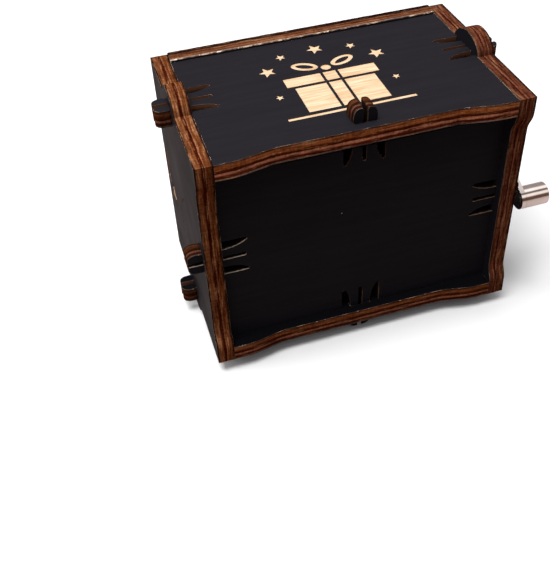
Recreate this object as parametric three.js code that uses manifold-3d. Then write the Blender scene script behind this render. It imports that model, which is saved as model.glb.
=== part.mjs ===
// Hand-cranked music box: a snap-together plywood case round a pinned-drum and comb movement.
// Millimetres. +X points to the crank, -Y to the side with the four corner feet, +Z out of the top.
// The origin is the middle of the case's underside.

import * as THREE from 'three';
import { mergeVertices } from 'three/addons/utils/BufferGeometryUtils.js';
import Module from 'manifold-3d';

const wasm = await Module();
wasm.setup();

// Case
const caseWidth = 64;
const caseDepth = 40;
const caseHeight = 49.5;
const plyThickness = 3.5;
const frontRecess = 3.25;
const rearSeam = 0.25;
const slotClearance = 0.06;
const cutOverrun = 1;

// Wavy front edges: a full-width land at each corner makes a foot
const waveDepth = 1.35;
const sideLand = 3.3;
const sideWaveRun = 5;
const topLand = 4.5;
const topWaveRun = 4.6;

// Snap tabs: two barbed prongs with a slit between them and a relief slit on either side
const prongWidth = 1.7;
const prongSpacing = 0.9;
const prongReach = 3;
const prongShoulder = 1.15;
const prongNose = 0.35;
const barbDepth = 0.15;
const barbGap = 0.12;
const reliefMouth = 2;
const reliefLength = 5.4;
const reliefTip = 0.8;
const reliefBendShare = 0.64;
const middleLength = 5;
const frontTabRise = 0.5;

// Ears that close the side panels over the tab slots
const earHalfWidth = 5.1;
const earHeight = 3.15;
const earSideShare = 0.46;
const earLeanShare = 0.97;
const earCrownShare = 0.56;

// Plain tabs of the rear panel, in open notches of the side panels
const rearTabWidth = 8;

// Bedplate, screwed to the inside of the front panel
const bedThickness = 1.8;
const bedMargin = 1;
const bedFloorGap = 0.95;
const bedCorner = 2.5;
const bearingEarThickness = 1.8;
const bearingEarWall = 2.4;

// Pinned drum
const drumRadius = 6;
const drumWall = 0.7;
const drumMargin = 0.55;
const drumBedGap = 1.6;
const drumEndGap = 0.3;
const drumCapThickness = 1.2;
const pinHeight = 0.45;
const pinWidth = 0.42;
const pinRoot = 0.25;
const tuneSteps = 48;
const barSteps = 4;
const harmonySteps = 2;
const melodyStride = 5;
const barStride = 7;
const harmonyStride = 11;

// Comb
const toothCount = 18;
const toothPitch = 1;
const toothGap = 0.2;
const toothTipGap = 0.12;
const combThickness = 0.9;
const toothThickness = 0.5;
const shortToothLength = 9;
const longToothLength = 14.2;
const combBaseWidth = 8;
const combMargin = 0.7;
const combWeightLength = 4.4;
const combWeightDepth = 1.1;
const combWeightSetback = 1;
const weightedTeeth = 7;
const combScrewCount = 3;

// Worm drive
const gearModule = 0.5;
const wheelTeeth = 24;
const wheelWidth = 3.4;
const wheelBossWall = 1.95;
const wheelBossHeight = 0.9;
const wormPitchRadius = 2.25;
const wormLength = 7;
const pressureAngle = THREE.MathUtils.degToRad(20);
const backlash = 0.12;
const rootClearance = 0.15;

// Arbors, bushes and fits
const arborRadius = 1.25;
const arborEnd = 0.5;
const bushWall = 0.85;
const bushFlangeRim = 0.8;
const bushFlange = 0.4;
const runningFit = 0.05;
const pressFit = 0.02;
const endPlay = 0.2;

// Bracket that carries the crank shaft
const bracketThickness = 1.3;
const bracketFoot = 5;
const bracketHeadWall = 1.3;
const bracketWheelGap = 1.6;
const bracketGap = 0.3;

// Screws
const machineScrewRadius = 0.9;
const machineHeadRadius = 1.7;
const machineHeadHeight = 1;
const combScrewBite = 4.1;
const bracketScrewBite = 1.3;
const woodScrewRadius = 1;
const woodHeadRadius = 2;
const woodHeadHeight = 1.3;
const woodScrewBite = 2.8;
const screwClearance = 0.06;
const driveSlotWidth = 0.5;
const driveSlotDepth = 0.45;
const headSideShare = 0.6;
const headTopShare = 0.8;

// Crank
const crankRadius = 21.6;
const crankRestAngle = THREE.MathUtils.degToRad(204.6);
const shaftHoleClearance = 0.85;
const armGap = 0.2;
const armThickness = 1;
const armHubRadius = 3;
const spigotRadius = 0.95;
const rivetHeadRadius = 1.5;
const rivetHeadHeight = 0.4;
const knobRadius = 2.35;
const knobLength = 5.1;
const knobChamfer = 0.25;
const knobPlay = 0.1;
const knobPinRadius = 1;
const knobRecessDepth = 0.7;
const clipRim = 1.05;
const clipThickness = 0.5;
const clipGroove = 0.35;
const shaftTail = 1;

// Facets
const fineSegments = 48;
const roundSegments = 24;
const screwSegments = 16;
const curveSteps = 7;
const wheelSlices = 2;
const threadSteps = 12;

// Case planes
const halfWidth = caseWidth / 2;
const halfDepth = caseDepth / 2;
const innerHalfWidth = halfWidth - plyThickness;
const frontFaceY = -halfDepth + frontRecess;
const frontBackY = frontFaceY + plyThickness;
const rearFrontY = halfDepth - plyThickness;
const sideTabY = (frontFaceY + halfDepth) / 2;
const frontTabZ = caseHeight / 2 + frontTabRise;
const tabHalfWidth = prongSpacing / 2 + prongWidth;
const slotHalfWidth = tabHalfWidth + slotClearance;

// Gears: the worm lies across the wheel, on its rear side
const wormLead = Math.PI * gearModule;
const wormTipRadius = wormPitchRadius + gearModule;
const wormRootRadius = wormPitchRadius - gearModule - rootClearance;
const wheelPitchRadius = gearModule * wheelTeeth / 2;
const wheelTipRadius = wheelPitchRadius + gearModule;
const wheelRootRadius = wheelPitchRadius - gearModule - rootClearance;
const wheelBaseRadius = wheelPitchRadius * Math.cos(pressureAngle);

// Movement, front to back
const bedTopY = frontBackY + bedThickness;
const drumReach = drumRadius + pinHeight;
const drumY = bedTopY + drumBedGap + drumReach;
const shaftY = drumY + wheelPitchRadius + wormPitchRadius;
const combBackY = drumY - combThickness / 2;
const combFaceY = drumY + combThickness / 2;

// Movement, bottom to top: it stands just clear of the bottom panel, and the worm is above the drum
const bushRadius = arborRadius + bushWall;
const bedLowZ = plyThickness + bedFloorGap;
const lowerEarZ = bedLowZ + bedMargin;
const drumLowZ = lowerEarZ + bearingEarThickness + bushFlange + endPlay;
const notesLowZ = drumLowZ + drumMargin;
const notesHighZ = notesLowZ + toothCount * toothPitch;
const drumHighZ = notesHighZ + drumMargin;
const crankHeight = drumHighZ + drumEndGap + wormTipRadius;
const combLowZ = notesLowZ - combMargin;
const combHighZ = notesHighZ + combMargin;
const bossHighZ = crankHeight + wheelWidth / 2 + wheelBossHeight;
const upperEarZ = bossHighZ + endPlay + bushFlange;
const bracketLowZ = combHighZ + bracketGap;
const bracketHighZ = upperEarZ - bracketGap;
const bedHighZ = bracketHighZ + bracketGap + 2 * woodHeadRadius + bedMargin;

// Movement, left to right: the bedplate is as wide as what it carries, in the middle of the case
const combReach = drumReach + toothTipGap + longToothLength + combBaseWidth;
const earReach = wheelTipRadius + bracketWheelGap;
const bracketReach = earReach + bracketThickness + bracketFoot;
const bedHalfWidth = (combReach + bracketReach) / 2 + bedMargin;
const drumX = bedHalfWidth - bedMargin - bracketReach;
const toothTipX = drumX - drumReach - toothTipGap;
const combLeftX = drumX - combReach;
const leftEarX = drumX - earReach - bracketThickness;
const rightEarX = drumX + earReach;
const armInnerX = halfWidth + prongReach + armGap;
const armOuterX = armInnerX + armThickness;

// Outlines drawn on one pair of axes are extruded along the third
const onXY = new THREE.Matrix4();
const onYZ = new THREE.Matrix4().makeBasis(axis(0, 1, 0), axis(0, 0, 1), axis(1, 0, 0));
const onXZ = new THREE.Matrix4().makeBasis(axis(1, 0, 0), axis(0, 0, 1), axis(0, -1, 0));

// Lathes turn about Y, and these lay them along X, Y or Z
const alongX = new THREE.Matrix4().makeBasis(axis(0, 1, 0), axis(1, 0, 0), axis(0, 0, -1));
const alongY = new THREE.Matrix4();
const alongZ = new THREE.Matrix4().makeBasis(axis(1, 0, 0), axis(0, 0, 1), axis(0, -1, 0));

function axis(x, y, z) {
  return new THREE.Vector3(x, y, z);
}

function extrude(shape, thickness, plane, x, y, z, steps = 1) {
  const settings = { depth: thickness, steps, bevelEnabled: false, curveSegments: curveSteps };
  return new THREE.ExtrudeGeometry(shape, settings).applyMatrix4(plane).translate(x, y, z);
}

function turn(profile, direction, x, y, z, segments = roundSegments) {
  const points = profile.map(([radius, height]) => new THREE.Vector2(radius, height));
  return new THREE.LatheGeometry(points, segments).applyMatrix4(direction).translate(x, y, z);
}

function box(lowX, lowY, lowZ, highX, highY, highZ) {
  return new THREE.BoxGeometry(highX - lowX, highY - lowY, highZ - lowZ)
    .translate((highX + lowX) / 2, (highY + lowY) / 2, (highZ + lowZ) / 2);
}

function rod(radius, from, to) {
  return [[0, from], [radius, from], [radius, to], [0, to]];
}

function ring(bore, radius, from, to) {
  return [[bore, from], [radius, from], [radius, to], [bore, to], [bore, from]];
}

function flipped(profile) {
  return profile.map(([radius, height]) => [radius, -height]).reverse();
}

// Round outlines have as many sides as the turned pieces that go through them
function circle(x, y, radius, start, end) {
  const share = Math.abs(end - start) / (2 * Math.PI);
  const arc = new THREE.EllipseCurve(x, y, radius, radius, start, end);
  return arc.getPoints(Math.max(2, Math.round(roundSegments * share)));
}

function roundHole(x, y, radius, segments = roundSegments) {
  const arc = new THREE.EllipseCurve(x, y, radius, radius, 0, 2 * Math.PI, true);
  return new THREE.Path().setFromPoints(arc.getPoints(segments));
}

function rectangleHole(left, low, right, high) {
  const hole = new THREE.Path();
  hole.moveTo(left, low);
  hole.lineTo(left, high);
  hole.lineTo(right, high);
  hole.lineTo(right, low);
  hole.closePath();
  return hole;
}

function outline(...corners) {
  return new THREE.Shape(corners.map(([x, y]) => new THREE.Vector2(x, y)));
}

function arcTo(shape, ...arc) {
  circle(...arc).forEach((point) => shape.lineTo(point.x, point.y));
}

// Booleans
function solid(geometry) {
  const bare = geometry.clone();
  bare.deleteAttribute('normal');
  bare.deleteAttribute('uv');
  const merged = mergeVertices(bare);
  const vertProperties = merged.attributes.position.array;
  const triVerts = Uint32Array.from(merged.index.array);
  return new wasm.Manifold(new wasm.Mesh({ numProp: 3, vertProperties, triVerts }));
}

function geometryOf(body) {
  const mesh = body.getMesh();
  const geometry = new THREE.BufferGeometry();
  geometry.setAttribute('position', new THREE.BufferAttribute(mesh.vertProperties, 3));
  geometry.setIndex(new THREE.BufferAttribute(mesh.triVerts, 1));
  geometry.computeVertexNormals();
  return geometry;
}

function join(first, ...others) {
  return geometryOf(others.reduce((body, next) => body.add(solid(next)), solid(first)));
}

function cut(first, ...tools) {
  return geometryOf(tools.reduce((body, tool) => body.subtract(solid(tool)), solid(first)));
}

// Finishes
const musicBox = new THREE.Group();
const finishes = {
  paintedPly: { color: '#1e1d22', roughness: 0.62, metalness: 0 },
  steel: { color: '#b9b6b0', roughness: 0.3, metalness: 1 },
  brass: { color: '#b98f45', roughness: 0.35, metalness: 1 },
  zinc: { color: '#9a9a98', roughness: 0.5, metalness: 0.9 },
};

function addPart(name, finish, geometry) {
  const mesh = new THREE.Mesh(geometry, new THREE.MeshStandardMaterial(finishes[finish]));
  mesh.name = name;
  musicBox.add(mesh);
}

// A panel's edge is walked with the panel on the left, so a positive distance is outside it
function edgeWalker(shape, startX, startY, goX, goY) {
  const place = (s, d) => [startX + goX * s + goY * d, startY + goY * s - goX * d];
  return {
    line: (s, d) => shape.lineTo(...place(s, d)),
    bend: (a, b, s, d) => shape.quadraticCurveTo(...place(a, b), ...place(s, d)),
    curve: (a, b, e, f, s, d) => shape.bezierCurveTo(...place(a, b), ...place(e, f), ...place(s, d)),
  };
}

function walkWave(edge, length, land, run) {
  const middle = land + run / 2;
  edge.line(land, 0);
  edge.curve(middle, 0, middle, -waveDepth, land + run, -waveDepth);
  edge.line(length - land - run, -waveDepth);
  edge.curve(length - middle, -waveDepth, length - middle, 0, length - land, 0);
  edge.line(length, 0);
}

function walkEar(edge, centre) {
  const rise = earHeight * earSideShare;
  const side = earHalfWidth * earLeanShare;
  const crown = earHalfWidth * earCrownShare;
  edge.line(centre - earHalfWidth, 0);
  edge.curve(centre - side, rise, centre - crown, earHeight, centre, earHeight);
  edge.curve(centre + crown, earHeight, centre + side, rise, centre + earHalfWidth, 0);
}

// A relief slit is straight on its outer side, and its inner side bends out to a round tip
function reliefPlaces(centre, side) {
  const mouthInner = centre + side * tabHalfWidth;
  const outer = mouthInner + side * reliefMouth;
  const shoulder = -reliefLength + reliefTip / 2;
  return {
    mouthInner,
    outer,
    tipInner: outer - side * reliefTip,
    tipMiddle: outer - side * reliefTip / 2,
    bend: shoulder * reliefBendShare,
    shoulder,
    beyondTip: shoulder - reliefTip,
  };
}

function walkIntoRelief(edge, centre) {
  const slit = reliefPlaces(centre, -1);
  edge.line(slit.outer, 0);
  edge.line(slit.outer, slit.shoulder);
  edge.bend(slit.tipMiddle, slit.beyondTip, slit.tipInner, slit.shoulder);
  edge.bend(slit.mouthInner, slit.bend, slit.mouthInner, 0);
}

function walkOutOfRelief(edge, centre) {
  const slit = reliefPlaces(centre, 1);
  edge.line(slit.mouthInner, 0);
  edge.bend(slit.mouthInner, slit.bend, slit.tipInner, slit.shoulder);
  edge.bend(slit.tipMiddle, slit.beyondTip, slit.outer, slit.shoulder);
  edge.line(slit.outer, 0);
}

// The two prongs make one split dome, with a small barb just past the panel that they go through
function prongPlaces(centre, side) {
  const outer = centre + side * tabHalfWidth;
  const inner = centre + side * prongSpacing / 2;
  const root = plyThickness + barbGap;
  const top = plyThickness + prongReach;
  return {
    outer,
    inner,
    root,
    top,
    barb: outer + side * barbDepth,
    catch: root + barbDepth,
    shoulder: plyThickness + prongShoulder,
    nose: inner + side * prongNose,
    noseRoot: top - prongNose,
  };
}

function walkTab(edge, centre) {
  const slit = prongSpacing / 2;
  const slitRound = -middleLength + slit;
  const beyondSlit = slitRound - slit * 4 / 3;
  walkIntoRelief(edge, centre);
  const first = prongPlaces(centre, -1);
  edge.line(first.outer, first.root);
  edge.line(first.barb, first.catch);
  edge.line(first.barb, first.shoulder);
  edge.bend(first.barb, first.top, first.nose, first.top);
  edge.bend(first.inner, first.top, first.inner, first.noseRoot);
  edge.line(first.inner, slitRound);
  edge.curve(first.inner, beyondSlit, centre + slit, beyondSlit, centre + slit, slitRound);
  const second = prongPlaces(centre, 1);
  edge.line(second.inner, second.noseRoot);
  edge.bend(second.inner, second.top, second.nose, second.top);
  edge.bend(second.barb, second.top, second.barb, second.shoulder);
  edge.line(second.barb, second.catch);
  edge.line(second.outer, second.root);
  walkOutOfRelief(edge, centre);
}

// Left and right panels, drawn on Y and Z
function sidePanelShape() {
  const shape = new THREE.Shape();
  const notchLow = (caseHeight - rearTabWidth) / 2 - slotClearance;
  const notchHigh = (caseHeight + rearTabWidth) / 2 + slotClearance;
  const notchY = rearFrontY - slotClearance;
  shape.moveTo(-halfDepth, 0);
  walkEar(edgeWalker(shape, 0, 0, 1, 0), sideTabY);
  shape.lineTo(halfDepth, 0);
  shape.lineTo(halfDepth, notchLow);
  shape.lineTo(notchY, notchLow);
  shape.lineTo(notchY, notchHigh);
  shape.lineTo(halfDepth, notchHigh);
  shape.lineTo(halfDepth, caseHeight);
  walkEar(edgeWalker(shape, 0, caseHeight, -1, 0), -sideTabY);
  shape.lineTo(-halfDepth, caseHeight);
  walkWave(edgeWalker(shape, -halfDepth, caseHeight, 0, -1), caseHeight, sideLand, sideWaveRun);
  for (const floor of [0, caseHeight - plyThickness]) {
    shape.holes.push(rectangleHole(sideTabY - slotHalfWidth, floor - slotClearance,
      sideTabY + slotHalfWidth, floor + plyThickness + slotClearance));
  }
  shape.holes.push(rectangleHole(frontFaceY - slotClearance, frontTabZ - slotHalfWidth,
    frontBackY + slotClearance, frontTabZ + slotHalfWidth));
  return shape;
}

function addSidePanels() {
  addPart('left_panel', 'paintedPly', extrude(sidePanelShape(), plyThickness, onYZ, -halfWidth, 0, 0));
  const right = sidePanelShape();
  right.holes.push(roundHole(shaftY, crankHeight, arborRadius + shaftHoleClearance));
  addPart('right_panel', 'paintedPly', extrude(right, plyThickness, onYZ, innerHalfWidth, 0, 0));
}

// Top and bottom panels, drawn on X and Y
function flatPanelShape() {
  const shape = new THREE.Shape();
  const rearY = rearFrontY - rearSeam;
  shape.moveTo(-innerHalfWidth, -halfDepth);
  walkWave(edgeWalker(shape, -innerHalfWidth, -halfDepth, 1, 0), 2 * innerHalfWidth, topLand, topWaveRun);
  walkTab(edgeWalker(shape, innerHalfWidth, 0, 0, 1), sideTabY);
  shape.lineTo(innerHalfWidth, rearY);
  shape.lineTo(-innerHalfWidth, rearY);
  walkTab(edgeWalker(shape, -innerHalfWidth, 0, 0, -1), -sideTabY);
  shape.lineTo(-innerHalfWidth, -halfDepth);
  shape.holes.push(rectangleHole(
    -slotHalfWidth, frontFaceY - slotClearance, slotHalfWidth, frontBackY + slotClearance));
  return shape;
}

function addFlatPanels() {
  const topZ = caseHeight - plyThickness;
  addPart('bottom_panel', 'paintedPly', extrude(flatPanelShape(), plyThickness, onXY, 0, 0, 0));
  addPart('top_panel', 'paintedPly', extrude(flatPanelShape(), plyThickness, onXY, 0, 0, topZ));
}

// Front panel, drawn on X and Z, with a snap tab in the middle of each edge
function frontPanelShape() {
  const shape = new THREE.Shape();
  const low = plyThickness;
  const high = caseHeight - plyThickness;
  shape.moveTo(-innerHalfWidth, low);
  walkTab(edgeWalker(shape, 0, low, 1, 0), 0);
  shape.lineTo(innerHalfWidth, low);
  walkTab(edgeWalker(shape, innerHalfWidth, 0, 0, 1), frontTabZ);
  shape.lineTo(innerHalfWidth, high);
  walkTab(edgeWalker(shape, 0, high, -1, 0), 0);
  shape.lineTo(-innerHalfWidth, high);
  walkTab(edgeWalker(shape, -innerHalfWidth, 0, 0, -1), -frontTabZ);
  shape.lineTo(-innerHalfWidth, low);
  return shape;
}

// The fourth corner of the bedplate is under the comb
function woodScrewPlaces() {
  const inset = woodHeadRadius + bedMargin;
  const left = -bedHalfWidth + inset;
  const right = bedHalfWidth - inset;
  return [[left, bedHighZ - inset], [right, bedHighZ - inset], [right, bedLowZ + inset]];
}

function addFrontPanel() {
  const plate = extrude(frontPanelShape(), plyThickness, onXZ, 0, frontBackY, 0);
  const pilot = rod(woodScrewRadius + pressFit, -woodScrewBite - endPlay, cutOverrun);
  const pilots = woodScrewPlaces().map(([x, z]) => turn(pilot, alongY, x, frontBackY, z, screwSegments));
  addPart('front_panel', 'paintedPly', cut(plate, ...pilots));
}

// Rear panel, drawn on X and Z, with one plain tab at each end
function addRearPanel() {
  const low = (caseHeight - rearTabWidth) / 2;
  const high = (caseHeight + rearTabWidth) / 2;
  const shape = outline(
    [-innerHalfWidth, 0], [innerHalfWidth, 0],
    [innerHalfWidth, low], [halfWidth, low], [halfWidth, high], [innerHalfWidth, high],
    [innerHalfWidth, caseHeight], [-innerHalfWidth, caseHeight],
    [-innerHalfWidth, high], [-halfWidth, high], [-halfWidth, low], [-innerHalfWidth, low],
  );
  addPart('rear_panel', 'paintedPly', extrude(shape, plyThickness, onXZ, 0, halfDepth, 0));
}

// Bedplate: one casting with the comb's ledge and the two bearing ears of the drum
function bedShape() {
  const shape = new THREE.Shape();
  const [left, right, low, high] = [-bedHalfWidth, bedHalfWidth, bedLowZ, bedHighZ];
  shape.moveTo(left + bedCorner, low);
  shape.lineTo(right - bedCorner, low);
  shape.quadraticCurveTo(right, low, right, low + bedCorner);
  shape.lineTo(right, high - bedCorner);
  shape.quadraticCurveTo(right, high, right - bedCorner, high);
  shape.lineTo(left + bedCorner, high);
  shape.quadraticCurveTo(left, high, left, high - bedCorner);
  shape.lineTo(left, low + bedCorner);
  shape.quadraticCurveTo(left, low, left + bedCorner, low);
  for (const [x, z] of woodScrewPlaces()) {
    shape.holes.push(roundHole(x, z, woodScrewRadius + screwClearance, screwSegments));
  }
  return shape;
}

function bearingEar(lowZ) {
  const radius = bushRadius + bearingEarWall;
  const shape = new THREE.Shape();
  shape.moveTo(drumX - radius, frontBackY);
  shape.lineTo(drumX + radius, frontBackY);
  arcTo(shape, drumX, drumY, radius, 0, Math.PI);
  shape.holes.push(roundHole(drumX, drumY, bushRadius + pressFit));
  return extrude(shape, bearingEarThickness, onXY, 0, 0, lowZ);
}

function combScrewPlaces() {
  const x = combLeftX + combBaseWidth / 2;
  const spacing = (combHighZ - combLowZ) / combScrewCount;
  return Array.from({ length: combScrewCount }, (_, i) => [x, combLowZ + spacing * (i + 1 / 2)]);
}

function bracketScrewPlaces() {
  const middleZ = (bracketLowZ + bracketHighZ) / 2;
  return [[leftEarX - bracketFoot / 2, middleZ], [drumX + bracketReach - bracketFoot / 2, middleZ]];
}

function addBedplate() {
  const plate = extrude(bedShape(), bedThickness, onXZ, 0, bedTopY, 0);
  const ledge = box(combLeftX, frontBackY, combLowZ, combLeftX + combBaseWidth, combBackY, combHighZ);
  const body = join(plate, ledge, bearingEar(lowerEarZ), bearingEar(upperEarZ));
  const holeRadius = machineScrewRadius + screwClearance;
  const combHole = rod(holeRadius, -combScrewBite - endPlay, cutOverrun);
  const bracketHole = rod(holeRadius, -bracketScrewBite - endPlay, cutOverrun);
  addPart('bedplate', 'zinc', cut(body,
    ...combScrewPlaces().map(([x, z]) => turn(combHole, alongY, x, combBackY, z, screwSegments)),
    ...bracketScrewPlaces().map(([x, z]) => turn(bracketHole, alongY, x, bedTopY, z, screwSegments))));
}

// Comb: long bass teeth with weights under their tips, short treble teeth at the other end
function toothRootX(note) {
  const share = note / (toothCount - 1);
  return toothTipX - THREE.MathUtils.lerp(longToothLength, shortToothLength, share);
}

function noteZ(note) {
  return notesLowZ + toothPitch * (note + 1 / 2);
}

function combShape() {
  const halfTooth = (toothPitch - toothGap) / 2;
  const shape = new THREE.Shape();
  shape.moveTo(combLeftX, combLowZ);
  shape.lineTo(toothRootX(0), combLowZ);
  for (let note = 0; note < toothCount; note += 1) {
    shape.lineTo(toothRootX(note), noteZ(note) - halfTooth);
    shape.lineTo(toothTipX, noteZ(note) - halfTooth);
    shape.lineTo(toothTipX, noteZ(note) + halfTooth);
    shape.lineTo(toothRootX(note), noteZ(note) + halfTooth);
  }
  shape.lineTo(toothRootX(toothCount - 1), combHighZ);
  shape.lineTo(combLeftX, combHighZ);
  for (const [x, z] of combScrewPlaces()) {
    shape.holes.push(roundHole(x, z, machineScrewRadius + screwClearance, screwSegments));
  }
  return shape;
}

function toothWeight(note) {
  const length = combWeightLength * (1 - note / weightedTeeth / 2);
  const high = toothTipX - combWeightSetback;
  const topY = combFaceY - toothThickness + pressFit;
  const halfTooth = (toothPitch - toothGap) / 2;
  return box(high - length, topY - combWeightDepth, noteZ(note) - halfTooth,
    high, topY, noteZ(note) + halfTooth);
}

function addComb() {
  const blank = extrude(combShape(), combThickness, onXZ, 0, combFaceY, 0);
  const tips = toothTipX + cutOverrun;
  const thinned = outline(
    [toothRootX(0) + combMargin, combLowZ - cutOverrun], [tips, combLowZ - cutOverrun],
    [tips, combHighZ + cutOverrun], [toothRootX(toothCount - 1) + combMargin, combHighZ + cutOverrun]);
  const relief = extrude(thinned, combThickness, onXZ, 0, combFaceY - toothThickness, 0);
  const weights = Array.from({ length: weightedTeeth }, (_, note) => toothWeight(note));
  addPart('comb', 'steel', join(cut(blank, relief), ...weights));
}

// Slotted screw with the underside of its head at height zero
function screw(radius, headRadius, headHeight, length) {
  const body = turn([[0, -length], [radius, -length], [radius, 0], [headRadius, 0],
    [headRadius, headHeight * headSideShare], [headRadius * headTopShare, headHeight], [0, headHeight]],
  alongY, 0, 0, 0, screwSegments);
  const reach = headRadius + cutOverrun;
  const slot = box(-reach, headHeight - driveSlotDepth, -driveSlotWidth / 2,
    reach, headHeight + cutOverrun, driveSlotWidth / 2);
  return cut(body, slot);
}

function addScrews() {
  const machineScrew = (length) => screw(machineScrewRadius, machineHeadRadius, machineHeadHeight, length);
  combScrewPlaces().forEach(([x, z], i) => {
    const body = machineScrew(combThickness + combScrewBite);
    addPart(`comb_screw_${i + 1}`, 'steel', body.translate(x, combFaceY, z));
  });
  bracketScrewPlaces().forEach(([x, z], i) => {
    const body = machineScrew(bracketThickness + bracketScrewBite);
    addPart(`bracket_screw_${i + 1}`, 'steel', body.translate(x, bedTopY + bracketThickness, z));
  });
  woodScrewPlaces().forEach(([x, z], i) => {
    const body = screw(woodScrewRadius, woodHeadRadius, woodHeadHeight, bedThickness + woodScrewBite);
    addPart(`movement_screw_${i + 1}`, 'steel', body.translate(x, bedTopY, z));
  });
}

// Drum: a thin tube with a made-up tune, a melody note at each step and two voices in each bar
function tunePins() {
  const pins = [];
  for (let step = 0; step < tuneSteps; step += 1) {
    const melody = step * melodyStride + Math.floor(step / barSteps) * barStride;
    pins.push([step, melody % toothCount]);
    if (step % barSteps === 0) pins.push([step, (melody + barStride) % toothCount]);
    if (step % harmonySteps === 0) pins.push([step, (melody + harmonyStride) % toothCount]);
  }
  return pins;
}

function addDrum() {
  const bore = drumRadius - drumWall;
  const halfPin = pinWidth / 2;
  const tube = turn(ring(bore, drumRadius, drumLowZ, drumHighZ), alongZ, drumX, drumY, 0, fineSegments);
  const pins = tunePins().map(([step, note]) => box(
    drumRadius - pinRoot, -halfPin, -halfPin, drumReach, halfPin, halfPin)
    .rotateZ(2 * Math.PI * (step + 1 / 2) / tuneSteps)
    .translate(drumX, drumY, noteZ(note)));
  addPart('drum', 'brass', join(tube, ...pins));
  const cap = ring(arborRadius + pressFit, bore - pressFit, 0, drumCapThickness);
  addPart('drum_cap_lower', 'brass', turn(cap, alongZ, drumX, drumY, drumLowZ));
  const upperCapZ = drumHighZ - drumCapThickness;
  addPart('drum_cap_upper', 'brass', turn(cap, alongZ, drumX, drumY, upperCapZ));
}

function addArbor() {
  const profile = rod(arborRadius, lowerEarZ - arborEnd, upperEarZ + bearingEarThickness + arborEnd);
  addPart('drum_arbor', 'steel', turn(profile, alongZ, drumX, drumY, 0));
}

// A flanged bush with the face of its flange at height zero
function bush(length) {
  const bore = arborRadius + runningFit;
  const flangeRadius = bushRadius + bushFlangeRim;
  return [[bore, 0], [flangeRadius, 0], [flangeRadius, bushFlange], [bushRadius, bushFlange],
    [bushRadius, bushFlange + length], [bore, bushFlange + length], [bore, 0]];
}

function addBushes() {
  const drumBush = bush(bearingEarThickness);
  const lowerZ = lowerEarZ + bearingEarThickness + bushFlange;
  addPart('drum_bush_upper', 'brass', turn(drumBush, alongZ, drumX, drumY, upperEarZ - bushFlange));
  addPart('drum_bush_lower', 'brass', turn(flipped(drumBush), alongZ, drumX, drumY, lowerZ));
  const shaftBush = bush(bracketThickness);
  const leftX = leftEarX + bracketThickness + bushFlange;
  addPart('shaft_bush_left', 'brass', turn(flipped(shaftBush), alongX, leftX, shaftY, crankHeight));
  addPart('shaft_bush_right', 'brass',
    turn(shaftBush, alongX, rightEarX - bushFlange, shaftY, crankHeight));
}

// Worm wheel: involute teeth, laid over to the lead of the worm
function toothHalfAngle(radius) {
  const involute = (angle) => Math.tan(angle) - angle;
  const angle = Math.acos(wheelBaseRadius / Math.max(radius, wheelBaseRadius));
  const pitchHalfAngle = (wormLead - backlash) / 4 / wheelPitchRadius;
  return pitchHalfAngle + involute(pressureAngle) - involute(angle);
}

function wheelShape() {
  const flank = [wheelRootRadius, wheelBaseRadius, wheelTipRadius];
  const points = [];
  for (let tooth = 0; tooth < wheelTeeth; tooth += 1) {
    const centre = Math.PI / 2 + 2 * Math.PI * (tooth + 1 / 2) / wheelTeeth;
    const rising = flank.map((radius) => [radius, centre - toothHalfAngle(radius)]);
    const falling = flank.map((radius) => [radius, centre + toothHalfAngle(radius)]).reverse();
    points.push(...rising, ...falling);
  }
  const shape = outline(...points.map(([r, angle]) => [r * Math.cos(angle), r * Math.sin(angle)]));
  shape.holes.push(roundHole(0, 0, arborRadius + pressFit));
  return shape;
}

function twistAboutZ(geometry, anglePerLength) {
  const position = geometry.attributes.position;
  for (let i = 0; i < position.count; i += 1) {
    const point = new THREE.Vector3().fromBufferAttribute(position, i);
    point.applyAxisAngle(axis(0, 0, 1), point.z * anglePerLength);
    position.setXYZ(i, point.x, point.y, point.z);
  }
  return geometry;
}

function addWormWheel() {
  const leadSlope = wormLead / (2 * Math.PI * wormPitchRadius);
  const blank = extrude(wheelShape(), wheelWidth, onXY, 0, 0, -wheelWidth / 2, wheelSlices);
  const teeth = twistAboutZ(blank, leadSlope / wheelPitchRadius).translate(drumX, drumY, crankHeight);
  const bossLowZ = crankHeight + wheelWidth / 2 - pressFit;
  const boss = ring(arborRadius + pressFit, arborRadius + wheelBossWall, bossLowZ, bossHighZ);
  addPart('worm_wheel', 'brass', join(teeth, turn(boss, alongZ, drumX, drumY, 0)));
}

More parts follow.
